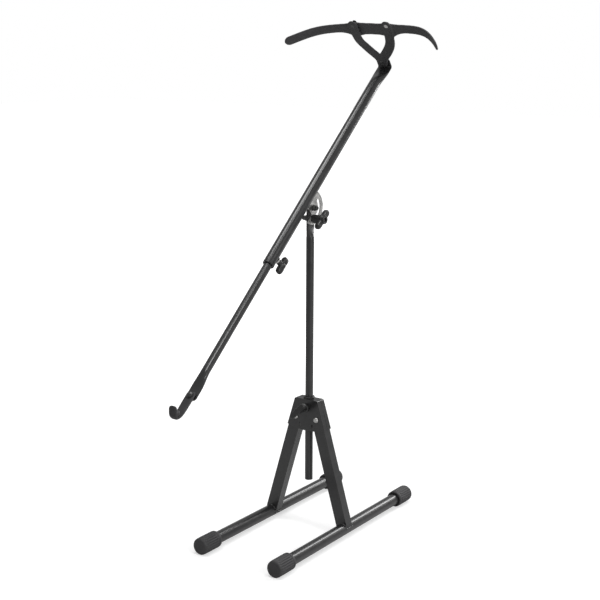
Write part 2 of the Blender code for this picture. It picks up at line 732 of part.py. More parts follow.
def build_plate(tilt_frame):
    # The sector stands square to the tilt pivot. Angles are measured from the boom's own direction.
    clamp = math.atan2(TILT_CLAMP_Z - TILT_Z, TILT_CLAMP_Y - TILT_Y) - BOOM_ANGLE
    slot_r = math.hypot(TILT_CLAMP_Z - TILT_Z, TILT_CLAMP_Y - TILT_Y)
    first = clamp - TILT_UP - SLOT_PLAY
    last = clamp + TILT_DOWN + SLOT_PLAY
    top = BOOM_HEIGHT - math.sqrt(OUTER_R ** 2 - PLATE_THICK ** 2 / 4) - PLATE_CLEAR
    rim_start = math.asin(top / PLATE_R)
    rim_end = first - SLOT_HALF / slot_r - SLOT_END_WALL
    rim = arc((0, 0), PLATE_R, rim_start, rim_end, 40)
    low = arc((0, 0), slot_r - SLOT_HALF - SLOT_WALL, rim_end, rim_end - math.radians(35), 4)
    outline = rim + low + [(PLATE_LEFT, top)]
    slot = arc((0, 0), slot_r + SLOT_HALF, last, first, 36)
    slot += arc((slot_r * math.cos(first), slot_r * math.sin(first)), SLOT_HALF, first, first - math.pi, 8)[1:]
    slot += arc((0, 0), slot_r - SLOT_HALF, first, last, 30)[1:]
    slot += arc((slot_r * math.cos(last), slot_r * math.sin(last)), SLOT_HALF, last + math.pi, last, 8)[1:-1]
    hole = circle((0, 0), PIN_R + HOLE_PLAY)
    mesh = outline_mesh("tilt_plate", [outline, slot, hole], PLATE_THICK)
    middle = TAB_THICK / 2 + GAP + PLATE_THICK / 2
    # Local X of the sheet runs along the boom, local Y square to it and local Z to +X.
    place("tilt_plate", mesh, ZINC, tilt_frame, (middle, 0, 0), (math.pi / 2, 0, math.pi / 2))
    return middle


def build_outer_tube(boom):
    across = (1, 0, 0)
    half_width, half_thick = HEAD_WIDTH / 2, OUTER_WALL
    flat_end = HEAD_BEND - HEAD_BEND_R
    flat_start = flat_end - HEAD_FLAT
    press = np.linspace(0, 1, 9)
    inner_r = OUTER_R - OUTER_WALL

    def ring(t, radius, shrink):
        flat = t * t * (3 - 2 * t)
        y = flat_start - HEAD_PRESS * (1 - t)
        return tube_ring((0, y, -HEAD_FLAT_DROP * flat), across, UP, radius, flat, half_width - shrink, half_thick)

    rings = [ring(t, inner_r, OUTER_WALL) for t in reversed(press) if t * t * (3 - 2 * t) < BORE_CLOSED]
    rings.append(tube_ring((0, OUTER_LOW, 0), across, UP, inner_r))
    rings.append(tube_ring((0, OUTER_LOW, 0), across, UP, OUTER_R))
    rings += [ring(t, OUTER_R, 0) for t in press]
    for turn in np.linspace(0, math.pi / 2, 6):
        rise = HEAD_BEND_R * (1 - math.cos(turn))
        centre = (0, flat_end + HEAD_BEND_R * math.sin(turn), -HEAD_FLAT_DROP + rise)
        normal = (0, -math.sin(turn), math.cos(turn))
        rings.append(tube_ring(centre, across, normal, OUTER_R, 1.0, half_width, half_thick))
    tip = -HEAD_FLAT_DROP + HEAD_TAB + half_thick
    for back, share in TAB_TIP:
        rings.append(tube_ring((0, HEAD_BEND, tip - back), across, (0, -1, 0), OUTER_R, 1.0, half_width * share,
                               half_thick))
    tube = place("boom_outer_tube", ring_mesh("boom_outer_tube", rings), POWDER_BLACK, boom)
    smooth(tube)
    clamp = (0, BOOM_CLAMP_AT, 0)
    turn = (0, math.pi / 2 + BOOM_CLAMP_TURN, 0)
    cut(tube, bore("outer_tube_clamp_hole", PIN_R + HOLE_PLAY, 0, CUT_REACH, boom, clamp, turn))
    for k, height in enumerate(HEAD_RIVETS):
        cut(tube, bore(f"outer_tube_rivet_hole_{k}", FORK_RIVET_R + HOLE_PLAY, -CUT_SHORT, CUT_SHORT, boom,
                       (0, HEAD_BEND, height), (math.pi / 2, 0, 0)))


def build_inner_tube(inner):
    across = (1, 0, 0)
    half_width, half_thick = INNER_FLAT_WIDTH / 2, INNER_FLAT_THICK / 2
    start = INNER_FLAT + INNER_PRESS
    press = np.linspace(0, 1, 9)
    groove = GROOVE / INNER_R
    bore_r = INNER_R - INNER_WALL

    def ring(t, radius, shrink):
        flat = t * t * (3 - 2 * t)
        y = start + (INNER_FLAT - start) * t
        return tube_ring((0, y, -INNER_FLAT_DROP * flat), across, UP, radius, flat, half_width - shrink,
                         half_thick, groove * (1 - flat))

    rings = [ring(t, bore_r, INNER_WALL) for t in reversed(press) if t * t * (3 - 2 * t) < BORE_CLOSED]
    rings.append(tube_ring((0, INNER_TOP, 0), across, UP, bore_r, groove=groove))
    rings.append(tube_ring((0, INNER_TOP, 0), across, UP, INNER_R, groove=groove))
    rings += [ring(t, INNER_R, 0) for t in press]
    for back, share in TAB_TIP:
        rings.append(tube_ring((0, INNER_END + back, -INNER_FLAT_DROP), across, UP, INNER_R, 1.0,
                               half_width * share, half_thick))
    tube = place("boom_inner_tube", ring_mesh("boom_inner_tube", rings), POWDER_BLACK, inner)
    smooth(tube)
    cut(tube, bore("inner_tube_hook_hole", PIN_R + HOLE_PLAY, -CUT_SHORT, CUT_SHORT, inner, (0, HOOK_SCREW_AT, 0)))


def build_boom_clamp(boom):
    # The collar is a ring under the outer tube's end, on a sleeve that fills the room between both tubes.
    low = OUTER_LOW - COLLAR_LIP
    high = OUTER_LOW + COLLAR_SLEEVE
    seat = OUTER_LOW - GAP
    bore_r = INNER_R + GAP
    sleeve_r = OUTER_R - OUTER_WALL - GAP
    profile = [(bore_r, high), (sleeve_r, high), (sleeve_r, seat), (OUTER_R, seat), (OUTER_R, low + BOSS_EDGE),
               (OUTER_R - BOSS_EDGE, low), (bore_r, low)]
    collar = turned("boom_collar", PLASTIC, profile, True, 28, parent=boom, rotation=(-math.pi / 2, 0, 0))
    # Local Z of this frame points out through the clamp screw, down and a little to the right.
    axis = frame("boom_knob_axis", boom, (0, BOOM_CLAMP_AT, 0), (0, math.pi / 2 + BOOM_CLAMP_TURN, 0))
    cut(collar, bore("collar_clamp_hole", PIN_R + HOLE_PLAY, 0, CUT_REACH, axis))
    boss_low = OUTER_R + GAP
    boss_high = boss_low + BOOM_BOSS
    build_boss("boom_clamp_boss", STEEL, axis, BOOM_BOSS_R, boss_low, boss_high)
    knob_low = BOOM_KNOB_OUT - BOOM_KNOB_DEPTH / 2
    knob_high = BOOM_KNOB_OUT + BOOM_KNOB_DEPTH / 2
    outline = lobed_outline(2, BOOM_KNOB_REACH, BOOM_KNOB_LOBE, BOOM_KNOB_HUB_R, math.pi / 2)
    screw_top = knob_low + BOOM_KNOB_SCREW_IN
    build_knob("boom_knob", axis, outline, knob_low, knob_high, BOOM_KNOB_NECK_R, boss_high + KNOB_FOOT,
               BOOM_KNOB_OUT, screw_top)
    build_screw("boom_clamp_screw", STEEL, axis, INNER_R + GAP, screw_top)


# Fork and cradle

def smooth_path(points, per_span=4):
    # A curve through all points, by the Catmull-Rom rule.
    points = [np.array(p, float) for p in points]
    padded = [2 * points[0] - points[1]] + points + [2 * points[-1] - points[-2]]
    found = []
    for a, b, c, d in zip(padded, padded[1:], padded[2:], padded[3:]):
        for t in np.arange(per_span) / per_span:
            found.append(0.5 * (2 * b + (c - a) * t + (2 * a - 5 * b + 4 * c - d) * t ** 2
                                + (3 * b - a - 3 * c + d) * t ** 3))
    found.append(points[-1])
    return found


def strip_mesh(name, centres, headings, face, half_widths, half_thick):
    # A flat strip along a path. face gives its thickness direction, or is worked out from heading and UP.
    rings = []
    for centre, heading, half_width in zip(centres, headings, half_widths):
        heading = np.array(heading, float)
        if face is None:
            across, normal = np.array((1.0, 0, 0)), np.cross(heading, (1.0, 0, 0))
        elif face == "upright":
            across, normal = np.array(UP), np.cross(heading, UP)
        else:
            normal = np.array(face, float)
            across = np.cross(heading, normal)
            across /= np.linalg.norm(across)
        rings.append(strip_ring(centre, across, normal, half_width, half_thick))
    return ring_mesh(name, rings)


def arm_rest(side):
    # The middle plane of an arm's top, clear of the strap, which may already bend forward at the arm's outer edge.
    outer_edge = side * (ARM_PATH[-1][0] + ARM_WIDTH / 2)
    edge = strap_path([STRAP_HALVES[-1][0] + outer_edge])[0][0]
    return float(edge[1]) - STRAP_THICK / 2 - GAP - ARM_THICK / 2


def build_arm(name, boom, side, at):
    flat = smooth_path([(side * x, HEAD_ZERO + e) for x, e in ARM_PATH], 5)
    start = flat[0] - (flat[1] - flat[0]) / np.linalg.norm(flat[1] - flat[0]) * ARM_WIDTH / 2
    end = flat[-1] + (flat[-1] - flat[-2]) / np.linalg.norm(flat[-1] - flat[-2]) * ARM_WIDTH / 2
    spots = [start] + flat + [end]
    reach = [0.0]
    for a, b in zip(spots, spots[1:]):
        reach.append(reach[-1] + float(np.linalg.norm(b - a)))
    stations = end_stations(reach[-1], ARM_WIDTH / 2, 16)
    xs = np.interp(stations, reach, [p[0] for p in spots])
    zs = np.interp(stations, reach, [p[1] for p in spots])
    # Each arm steps back where it meets the strap, so that both rest on it.
    rest_at = arm_rest(side)
    share = [min(max((s - 0.45 * reach[-1]) / (0.25 * reach[-1]), 0.0), 1.0) for s in stations]
    ys = [at + (rest_at - at) * t * t * (3 - 2 * t) for t in share]
    centres = [np.array(p) for p in zip(xs, ys, zs)]
    headings = []
    for i in range(len(centres)):
        step = centres[min(i + 1, len(centres) - 1)] - centres[max(i - 1, 0)]
        step[1] = 0
        headings.append(step / np.linalg.norm(step))
    widths = rounded_ends(stations, ARM_WIDTH / 2, True, True)
    mesh = strip_mesh(name, centres, headings, (0, -1, 0), widths, ARM_THICK / 2)
    arm = place(name, mesh, RUBBER, boom)
    smooth(arm)
    along = (math.pi / 2, 0, 0)
    hole = FORK_RIVET_R + HOLE_PLAY
    for k, height in enumerate(HEAD_RIVETS):
        cut(arm, bore(f"{name}_head_hole_{k}", hole, -CUT_SHORT, CUT_SHORT, boom, (0, at, height), along))
    top = (side * ARM_PATH[-1][0], at, HEAD_ZERO + ARM_PATH[-1][1])
    cut(arm, bore(name + "_strap_hole", hole, -CUT_SHORT, CUT_SHORT, boom, top, along))


def strap_turn(side, share):
    # The strap's heading at a share of one half's length, eased a little between its bends.
    bends = STRAP_HALVES[side][1]
    knots = np.linspace(0, 1, len(bends))
    around = share + np.array((-STRAP_EASING, 0.0, STRAP_EASING))
    return math.radians(float(np.interp(np.clip(around, 0, 1), knots, bends).mean()))


def strap_path(stations):
    # The strap's middle line, from its left tip. Both halves bend towards the hook end.
    count = 200
    curves = {}
    for side, (half_length, _) in STRAP_HALVES.items():
        xs, ys = [0.0], [0.0]
        for i in range(count):
            turn = strap_turn(side, (i + 0.5) / count)
            xs.append(xs[-1] + math.cos(turn) * half_length / count)
            ys.append(ys[-1] - math.sin(turn) * half_length / count)
        curves[side] = (np.linspace(0, half_length, count + 1), xs, ys)
    centres, headings = [], []
    for at in stations:
        s = at - STRAP_HALVES[-1][0]
        side = 1 if s >= 0 else -1
        ticks, xs, ys = curves[side]
        x = side * float(np.interp(abs(s), ticks, xs))
        y = float(np.interp(abs(s), ticks, ys))
        turn = strap_turn(side, abs(s) / STRAP_HALVES[side][0])
        centres.append(np.array((x, STRAP_FRONT + STRAP_THICK / 2 + y, HEAD_ZERO + STRAP_HEIGHT)))
        headings.append(np.array((math.cos(turn), -side * math.sin(turn), 0.0)))
    return centres, headings


def strap_stations(trim):
    half = STRAP_WIDTH / 2 - trim
    length = STRAP_HALVES[-1][0] + STRAP_HALVES[1][0] - 2 * trim
    return [trim + s for s in end_stations(length, half, 29)], half


def build_strap(boom):
    stations, half = strap_stations(0.0)
    widths = rounded_ends(stations, half, True, True)
    mesh = strip_mesh("cradle_sleeve", *strap_path(stations), "upright", widths, STRAP_THICK / 2)
    sleeve = place("cradle_sleeve", mesh, RUBBER, boom)
    smooth(sleeve)
    core_thick = STRAP_THICK / 2 - COAT
    for name, trim, thick in (("cradle_room", COAT * 2, core_thick), ("cradle_core", COAT * 2 + CORE_PLAY,
                                                                     core_thick - CORE_PLAY)):
        stations, half = strap_stations(trim)
        shifted = [s - trim for s in stations]
        widths = rounded_ends(shifted, half, True, True)
        mesh = strip_mesh(name, *strap_path(stations), "upright", widths, thick)
        inside = place(name, mesh, STEEL, boom)
        if name == "cradle_room":
            cut(sleeve, as_cutter(inside))
        else:
            core = inside
    along = (math.pi / 2, 0, 0)
    for side_name, side in (("left", -1), ("right", 1)):
        x = side * ARM_PATH[-1][0]
        z = HEAD_ZERO + ARM_PATH[-1][1]
        for piece in (sleeve, core):
            cut(piece, bore(f"{piece.name}_{side_name}_hole", FORK_RIVET_R + HOLE_PLAY, -CUT_REACH, CUT_REACH, boom,
                            (x, STRAP_FRONT, z), along))
        # The strap may lie a little behind the arm here, where it is already bending away.
        build_rivet(side_name + "_strap_rivet", boom, (x, 0, z), arm_rest(side) - ARM_THICK / 2 - GAP,
                    STRAP_FRONT + STRAP_THICK + GAP, STRAP_RIVET_HEAD_R)


def build_rivet(name, parent, where, front, back, head_r, head=RIVET_HEAD):
    rivet_frame = frame(name + "_axis", parent, where, (math.pi / 2, 0, 0))
    # Local Z points to the front here, so a place at y has the height -y.
    top, low = -front, -back
    profile = [(0, top + head), (head_r * 0.6, top + head * 0.85), (head_r, top + head * 0.2), (head_r, top),
               (FORK_RIVET_R, top), (FORK_RIVET_R, low), (head_r, low), (head_r, low - head * 0.2),
               (head_r * 0.6, low - head * 0.85), (0, low - head)]
    return turned(name, BLACK_STEEL, profile, False, 20, parent=rivet_frame)


def build_head_rivets(boom):
    for name, height in zip(("lower_head_rivet", "upper_head_rivet"), HEAD_RIVETS):
        build_rivet(name, boom, (0, 0, height), RIGHT_ARM_AT - ARM_THICK / 2 - GAP,
                    HEAD_BEND + OUTER_WALL + GAP, HEAD_RIVET_HEAD_R)


# Hook

def hook_path(stations):
    # Straight down the boom, round the bend, then up to a tongue that stands upright in the room.
    height = -INNER_FLAT_DROP + INNER_FLAT_THICK / 2 + GAP + HOOK_THICK / 2
    bend = math.pi / 2 + BOOM_ANGLE
    curl = HOOK_BEND_R * bend
    centres, headings = [], []
    for s in stations:
        turn = min(max((s - HOOK_RUN) / HOOK_BEND_R, 0.0), bend)
        run = min(s, HOOK_RUN)
        past = max(s - HOOK_RUN - curl, 0.0)
        y = HOOK_START - run - HOOK_BEND_R * math.sin(turn) - past * math.cos(turn)
        z = height + HOOK_BEND_R * (1 - math.cos(turn)) + past * math.sin(turn)
        centres.append(np.array((0.0, y, z)))
        headings.append(np.array((0.0, -math.cos(turn), math.sin(turn))))
    return centres, headings


def hook_stations(trim):
    half = HOOK_WIDTH / 2 - trim
    length = HOOK_RUN + HOOK_BEND_R * (math.pi / 2 + BOOM_ANGLE) + HOOK_TONGUE - 2 * trim
    return [trim + s for s in end_stations(length, half * HOOK_END_SHARE, 22)], half


def build_hook(inner):
    sleeve = None
    core_thick = HOOK_THICK / 2 - COAT
    for name, trim, thick in (("hook_sleeve", 0.0, HOOK_THICK / 2), ("hook_room", COAT * 2, core_thick),
                              ("hook_core", COAT * 2 + CORE_PLAY, core_thick - CORE_PLAY)):
        stations, half = hook_stations(trim)
        widths = []
        bow = half * HOOK_END_SHARE
        for s in stations:
            away = 1 - min(s - trim, stations[-1] - s, bow) / bow
            narrowed = float(np.interp(s, (HOOK_RUN / 2, HOOK_RUN), (1.0, HOOK_BEND_WIDTH / HOOK_WIDTH)))
            widths.append(narrowed * (half - bow + bow * math.sqrt(max(1 - away * away, 0.0))))
        piece = place(name, strip_mesh(name, *hook_path(stations), None, widths, thick),
                      STEEL if name == "hook_core" else RUBBER, inner)
        if name == "hook_room":
            cut(sleeve, as_cutter(piece))
            continue
        if name == "hook_sleeve":
            sleeve = piece
            smooth(sleeve)
    for piece in (sleeve, bpy.data.objects["hook_core"]):
        cut(piece, bore(piece.name + "_screw_hole", PIN_R + HOLE_PLAY, -CUT_SHORT, CUT_SHORT, inner, (0, HOOK_SCREW_AT, 0)))
    axis = frame("hook_screw_axis", inner, (0, HOOK_SCREW_AT, 0))
    strip_top = -INNER_FLAT_DROP + INNER_FLAT_THICK / 2 + GAP + HOOK_THICK
    washer_low = strip_top + GAP
    washer_high = washer_low + HOOK_WASHER
    hole = PIN_R + HOLE_PLAY
    profile = [(hole, washer_high), (HOOK_WASHER_R, washer_high), (HOOK_WASHER_R, washer_low), (hole, washer_low)]
    turned("hook_washer", BLACK_STEEL, profile, True, 24, parent=axis)
    nut_high = -INNER_FLAT_DROP - INNER_FLAT_THICK / 2 - GAP
    head = washer_high + GAP
    tail = nut_high - NUT - BOLT_PAST_NUT
    dome = [(HOOK_HEAD_R * math.sin(a), head + HOOK_HEAD * math.cos(a)) for a in np.linspace(0, math.pi / 2, 6)]
    profile = dome + [(PIN_R, head), (PIN_R, tail), (0, tail)]
    turned("hook_screw", BLACK_STEEL, profile, False, 24, parent=axis)
    build_nut("hook_nut", axis, nut_high - NUT, STEEL)


def main():
    build_feet("left", -1)
    build_feet("right", 1)
    build_bracket()
    build_height_clamp()
    column_frame = build_column()
    build_tilt_joint(column_frame)
    tilt_frame = frame("tilt_axis", column_frame, (0, TILT_Y, TILT_Z), (BOOM_ANGLE, 0, 0))
    plate_at = build_plate(tilt_frame)
    boom = frame("boom_axis", tilt_frame, (plate_at, 0, BOOM_HEIGHT), (0, BOOM_ROLL, 0))
    build_outer_tube(boom)
    build_boom_clamp(boom)
    build_arm("left_fork_arm", boom, -1, LEFT_ARM_AT)
    build_arm("right_fork_arm", boom, 1, RIGHT_ARM_AT)
    build_head_rivets(boom)
    build_strap(boom)
    # The inner tube is turned back in the outer one, so that the hook hangs level.
    inner = frame("inner_tube_slide", boom, rotation=(0, -BOOM_ROLL, 0))
    build_inner_tube(inner)
    build_hook(inner)
    bpy.context.view_layer.update()


main()
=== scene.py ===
from math import cos, exp, pi, radians, sin, sqrt

import bmesh
import bpy
from mathutils import Matrix, Vector, noise


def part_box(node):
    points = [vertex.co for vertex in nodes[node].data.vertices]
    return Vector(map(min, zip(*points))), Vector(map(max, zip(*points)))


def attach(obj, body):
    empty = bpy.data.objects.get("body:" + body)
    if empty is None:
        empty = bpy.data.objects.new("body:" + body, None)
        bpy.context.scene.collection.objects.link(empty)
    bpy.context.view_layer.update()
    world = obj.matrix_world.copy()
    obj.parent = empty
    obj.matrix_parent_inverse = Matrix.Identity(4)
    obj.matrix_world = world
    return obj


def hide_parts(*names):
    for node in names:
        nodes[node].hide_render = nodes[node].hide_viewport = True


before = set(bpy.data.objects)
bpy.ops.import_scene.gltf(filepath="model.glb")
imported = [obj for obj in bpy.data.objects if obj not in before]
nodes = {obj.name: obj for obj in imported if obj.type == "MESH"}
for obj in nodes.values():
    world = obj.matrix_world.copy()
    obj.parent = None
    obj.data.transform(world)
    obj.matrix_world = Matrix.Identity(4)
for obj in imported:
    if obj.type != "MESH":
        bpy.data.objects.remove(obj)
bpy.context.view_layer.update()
print("frame loaded:", len(nodes), "nodes")


# Node trees

class Flow:
    def __init__(self, tree, socket=None):
        self.tree = tree
        self.socket = socket

    def node(self, kind, settings, values, out=0):
        made = self.tree.nodes.new("ShaderNode" + kind)
        for name, value in settings.items():
            setattr(made, name, value)
        for name, value in values.items():
            if isinstance(value, Flow):
                self.tree.links.new(value.socket, made.inputs[name])
            else:
                made.inputs[name].default_value = value
        return Flow(self.tree, made.outputs[out])

    def math(self, kind, first, second=0.0):
        return self.node("Math", {"operation": kind}, {0: first, 1: second})

    def __add__(self, other):
        return self.math("ADD", self, other)

    def __radd__(self, other):
        return self.math("ADD", other, self)

    def __sub__(self, other):
        return self.math("SUBTRACT", self, other)

    def __rsub__(self, other):
        return self.math("SUBTRACT", other, self)

    def __mul__(self, other):
        return self.math("MULTIPLY", self, other)

    def __rmul__(self, other):
        return self.math("MULTIPLY", other, self)

    def mix(self, low, high):
        return self.node("Mix", {"data_type": "RGBA"}, {0: self, 6: low, 7: high}, 2)

    def steps(self, low, high, bottom=0.0, top=1.0):
        values = {"Value": self, "From Min": low, "From Max": high, "To Min": bottom, "To Max": top}
        return self.node("MapRange", {"interpolation_type": "SMOOTHSTEP"}, values)

    def noise(self, scale, detail=3.0, roughness=0.5):
        where = self.node("TexCoord", {}, {}, "Object")
        values = {"Vector": where, "Scale": scale, "Detail": detail, "Roughness": roughness}
        return self.node("TexNoise", {}, values)

    def edges(self, width):
        soft = self.node("Bevel", {"samples": 4}, {"Radius": width})
        plain = self.node("NewGeometry", {}, {}, "Normal")
        same = self.node("VectorMath", {"operation": "DOT_PRODUCT"}, {0: soft, 1: plain}, "Value")
        return 1.0 - same


def colour(level, tint=(1.0, 1.0, 1.0)):
    return (level * tint[0], level * tint[1], level * tint[2], 1.0)


shared = {  # alike in every finish
    "patchDetail": 4.0, "patchRoughness": 0.6, "patchFrom": 0.3, "patchTo": 0.7,
    "grainDetail": 2.0, "wearGain": 6.0, "wearScale": 140.0, "wearDetail": 4.0,
    "wearRoughness": 0.7, "wearFrom": 0.05, "wearTo": 0.6,
}


def newMaterial(name, look):
    made = bpy.data.materials.new(name)
    made.use_nodes = True
    tree = made.node_tree
    tree.nodes.clear()
    flow = Flow(tree)
    patches = flow.noise(look["patchScale"], shared["patchDetail"], shared["patchRoughness"])
    patches = patches.steps(shared["patchFrom"], shared["patchTo"])
    grain = flow.noise(look["grainScale"], shared["grainDetail"])
    chips = flow.noise(shared["wearScale"], shared["wearDetail"], shared["wearRoughness"])
    wear = flow.edges(look["edgeWidth"]) * shared["wearGain"] * chips
    wear = wear.steps(shared["wearFrom"], shared["wearTo"])
    base = (wear * look["wearAmount"]).mix(
        patches.mix(colour(look["low"], look["tint"]), colour(look["high"], look["tint"])),
        colour(look["worn"], look["tint"]))
    rough = look["rough"] + patches * look["roughChange"] + wear * look["wearRough"]
    relief = flow.node("Bump", {}, {
        "Strength": look["bump"], "Distance": look["bumpDepth"], "Height": grain})
    shader = flow.node("BsdfPrincipled", {}, {
        "Base Color": base, "Roughness": rough, "Metallic": look["metal"], "Normal": relief,
        "IOR": look["ior"], "Coat Weight": look["coat"], "Coat Roughness": look["coatRough"]})
    end = tree.nodes.new("ShaderNodeOutputMaterial")
    tree.links.new(shader.socket, end.inputs["Surface"])
    return made


looks = {
    "powder": {
        "tint": (1.0, 0.99, 1.03), "low": 0.011, "high": 0.017, "worn": 0.05, "metal": 0.0,
        "rough": 0.3, "roughChange": 0.06, "wearRough": 0.08, "wearAmount": 0.5, "ior": 1.5,
        "patchScale": 38.0, "grainScale": 1500.0, "edgeWidth": 0.0006, "bump": 0.025,
        "bumpDepth": 0.0001, "coat": 0.35, "coatRough": 0.17,
    },
    "zinc": {
        "tint": (1.0, 0.99, 0.97), "low": 0.46, "high": 0.58, "worn": 0.74, "metal": 1.0,
        "rough": 0.3, "roughChange": 0.14, "wearRough": -0.05, "wearAmount": 0.6, "ior": 1.5,
        "patchScale": 60.0, "grainScale": 900.0, "edgeWidth": 0.0006, "bump": 0.08,
        "bumpDepth": 0.0003, "coat": 0.0, "coatRough": 0.2,
    },
    "blackSteel": {
        "tint": (1.0, 1.0, 1.0), "low": 0.014, "high": 0.024, "worn": 0.12, "metal": 0.0,
        "rough": 0.24, "roughChange": 0.12, "wearRough": 0.1, "wearAmount": 0.7, "ior": 1.6,
        "patchScale": 80.0, "grainScale": 1300.0, "edgeWidth": 0.0004, "bump": 0.08,
        "bumpDepth": 0.0003, "coat": 0.2, "coatRough": 0.15,
    },
    "plastic": {
        "tint": (1.0, 1.0, 1.01), "low": 0.011, "high": 0.016, "worn": 0.04, "metal": 0.0,
        "rough": 0.34, "roughChange": 0.08, "wearRough": 0.06, "wearAmount": 0.5, "ior": 1.48,
        "patchScale": 55.0, "grainScale": 1100.0, "edgeWidth": 0.0005, "bump": 0.1,
        "bumpDepth": 0.0003, "coat": 0.0, "coatRough": 0.2,
    },
    "rubber": {
        "tint": (1.0, 0.97, 1.03), "low": 0.024, "high": 0.038, "worn": 0.06, "metal": 0.0,
        "rough": 0.55, "roughChange": 0.12, "wearRough": 0.05, "wearAmount": 0.5, "ior": 1.5,
        "patchScale": 70.0, "grainScale": 700.0, "edgeWidth": 0.0005, "bump": 0.25,
        "bumpDepth": 0.0005, "coat": 0.0, "coatRough": 0.3,
    },
}
materials = {name: newMaterial(name, look) for name, look in looks.items()}
finishes = {
    "zinc": ["tilt_plate", "tilt_washer", "height_clamp_screw", "tilt_clamp_screw",
             "boom_clamp_screw", "left_pivot_bolt", "right_pivot_bolt", "left_pivot_nut",
             "right_pivot_nut", "boom_clamp_boss", "hook_nut", "cradle_core", "hook_core",
             "right_strap_rivet"],
    "blackSteel": ["tilt_pivot_bolt", "tilt_pivot_cap_nut", "tilt_cap_nut", "left_strap_rivet",
                   "lower_head_rivet", "upper_head_rivet", "hook_screw", "hook_washer",
                   "height_clamp_boss"],
    "plastic": ["column_bush", "height_knob", "tilt_knob", "boom_knob", "boom_collar"],
    "rubber": ["left_front_foot_cap", "left_rear_foot_cap", "right_front_foot_cap",
               "right_rear_foot_cap", "cradle_sleeve", "hook_sleeve", "left_fork_arm",
               "right_fork_arm"],
}
finishOf = {node: finish for finish, listed in finishes.items() for node in listed}
for name, piece in nodes.items():
    piece.data.materials.clear()
    piece.data.materials.append(materials[finishOf.get(name, "powder")])
print("materials:", len(materials))


# Rolled and folded edges on the sheet and tube parts

rolledEdges = {
    "width": 0.0005, "steps": 2, "sharperThan": radians(40),
    "nodes": ["front_bracket_plate", "rear_bracket_plate", "left_leg", "right_leg", "tilt_plate"],
}
for name in rolledEdges["nodes"]:
    rolled = nodes[name].modifiers.new("rolled", "BEVEL")
    rolled.width = rolledEdges["width"]
    rolled.segments = rolledEdges["steps"]
    rolled.limit_method = "ANGLE"
    rolled.angle_limit = rolledEdges["sharperThan"]


# Shapes

def newPiece(name, mesh, body, look, hides=()):
    piece = bpy.data.objects.new(name, mesh)
    bpy.context.scene.collection.objects.link(piece)
    mesh.materials.clear()
    mesh.materials.append(materials[look])
    mesh.shade_smooth()
    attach(piece, body)
    if hides:
        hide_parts(*hides)
    return piece


def gathered(name, meshes):
    joined = bmesh.new()
    for mesh in meshes:
        joined.from_mesh(mesh)
    made = bpy.data.meshes.new(name)
    joined.to_mesh(made)
    joined.free()
    return made


def moulded(mesh, voxel, swell=0.0, rounds=0):
    holder = bpy.data.objects.new("moulding", mesh)
    bpy.context.scene.collection.objects.link(holder)
    cells = holder.modifiers.new("cells", "REMESH")
    cells.mode = "VOXEL"
    cells.voxel_size = voxel
    if swell:
        outward = holder.modifiers.new("outward", "DISPLACE")
        outward.strength = swell
        outward.mid_level = 0.0
    if rounds:
        soften = holder.modifiers.new("soften", "SMOOTH")
        soften.factor = 0.5
        soften.iterations = rounds
    view = bpy.context.evaluated_depsgraph_get()
    made = bpy.data.meshes.new_from_object(holder.evaluated_get(view))
    bpy.data.objects.remove(holder)
    return made


# The coat over the strap and both fork arms is one dipped skin, with webs where they join

cradle = {
    "origin": (-0.00204, 0.061493, 0.684003), "tilt": radians(41.4), "roll": radians(4),
    "voxel": 0.0009, "coat": 0.0012, "armCoat": 0.0008, "rounds": 10,
    "lipRadius": 0.0062, "lipDrop": 0.0013, "lipDrops": 30,
    "strapHeight": 0.103, "halfWidth": 0.01185, "armAt": 0.0371, "armHalf": 0.0105,
    "windowDrop": 0.0085, "armDrop": 0.0115, "webLength": 0.034, "rise": 0.003, "riseWidth": 0.011,
}
plainUp = Vector((0.0, -sin(cradle["tilt"]), cos(cradle["tilt"])))
sideways = Vector((1.0, 0.0, 0.0))
boomUp = plainUp * cos(cradle["roll"]) + sideways * sin(cradle["roll"])
boomAcross = sideways * cos(cradle["roll"]) - plainUp * sin(cradle["roll"])


def webDrop(across, sizes):
    inside = sizes["armAt"] - sizes["armHalf"]
    outside = sizes["armAt"] + sizes["armHalf"]
    if across < inside:
        share = across / inside
        return sizes["windowDrop"] + (sizes["armDrop"] - sizes["windowDrop"]) * share ** 4
    if across < outside:
        return sizes["armDrop"]
    share = max(0.0, 1 - (across - outside) / sizes["webLength"])
    return sizes["armDrop"] * share ** 2.5


def addWebs(mesh, sizes):
    origin = Vector(sizes["origin"])
    for vertex in mesh.vertices:
        place = vertex.co - origin
        across = abs(place.dot(boomAcross))
        share = (place.dot(boomUp) - sizes["strapHeight"]) / sizes["halfWidth"]
        if share < 0:
            vertex.co += boomUp * share * webDrop(across, sizes)
        else:
            near = (across - sizes["armAt"]) / sizes["riseWidth"]
            vertex.co += boomUp * share * sizes["rise"] * exp(-near * near)


def newDrops(name, places):
    drops = bmesh.new()
    for place, size in places:
        bmesh.ops.create_icosphere(drops, subdivisions=2, radius=size,
                                   matrix=Matrix.Translation(place))
    mesh = bpy.data.meshes.new(name)
    drops.to_mesh(mesh)
    drops.free()
    return mesh


def rivetLip(node, arm, sizes):
    # a raised lip of rubber round a rivet's head, on the face that looks down the boom
    low, high = (Vector(corner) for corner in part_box(node))
    middle = (low + high) / 2
    boomAlong = boomUp.cross(boomAcross)
    face = min((vertex.co - middle).dot(boomAlong) for vertex in nodes[arm].data.vertices
               if (vertex.co - middle).length < sizes["halfWidth"])
    places = []
    for step in range(sizes["lipDrops"]):
        turn = 2 * pi * step / sizes["lipDrops"]
        spoke = boomAcross * cos(turn) + boomUp * sin(turn)
        places.append((middle + boomAlong * face + spoke * sizes["lipRadius"], sizes["lipDrop"]))
    return newDrops(node + "_lip", places)


